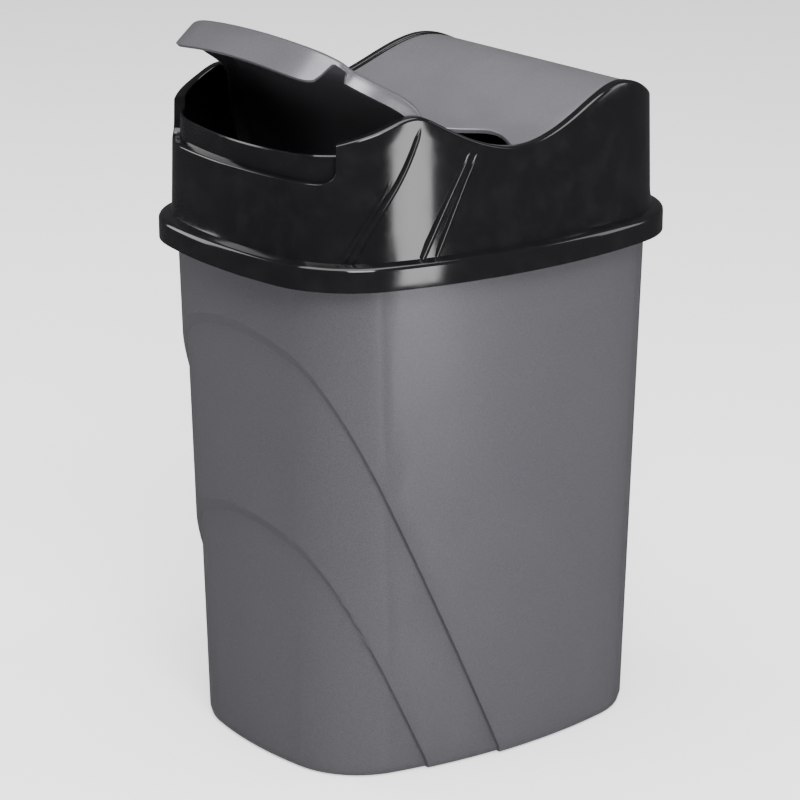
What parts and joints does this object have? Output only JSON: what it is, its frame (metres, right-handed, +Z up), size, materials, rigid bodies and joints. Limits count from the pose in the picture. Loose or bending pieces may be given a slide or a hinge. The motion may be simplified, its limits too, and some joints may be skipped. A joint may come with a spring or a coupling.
{
  "type": "trash can",
  "caption": "Tapered rounded-square kitchen bin with wave steps, a lift-off lid frame, a swinging front flap and a concave rear panel.",
  "frame": {"origin": "on the floor under the middle of the bin", "axes": "+Z up; -Y is the front, where the flap opens; +X is the bin's left-hand side as it faces the user"},
  "size_m": [0.231, 0.2814, 0.4324],
  "materials": {
    "grey_body": "satin metallic-look grey polypropylene",
    "black_frame": "high gloss black",
    "grey_panel": "satin metallic-look grey",
    "grey_flap": "satin metallic-look grey"
  },
  "bodies": {
    "bucket": {"bucket": "grey_body"},
    "lid": {"lid_frame": "black_frame", "rear_panel": "grey_panel"},
    "flap": {"flap": "grey_flap"}
  },
  "joints": [
    {"name": "lid_lift", "type": "slide", "parent": "bucket", "child": "lid", "axis": [0, 0, 1], "range_m": [0, 0.12]},
    {"name": "flap_hinge", "type": "hinge", "parent": "lid", "child": "flap", "pos_m": [0, -0.064, 0.386], "axis": [-1, 0, 0], "range_deg": [-50, 10]}
  ]
}
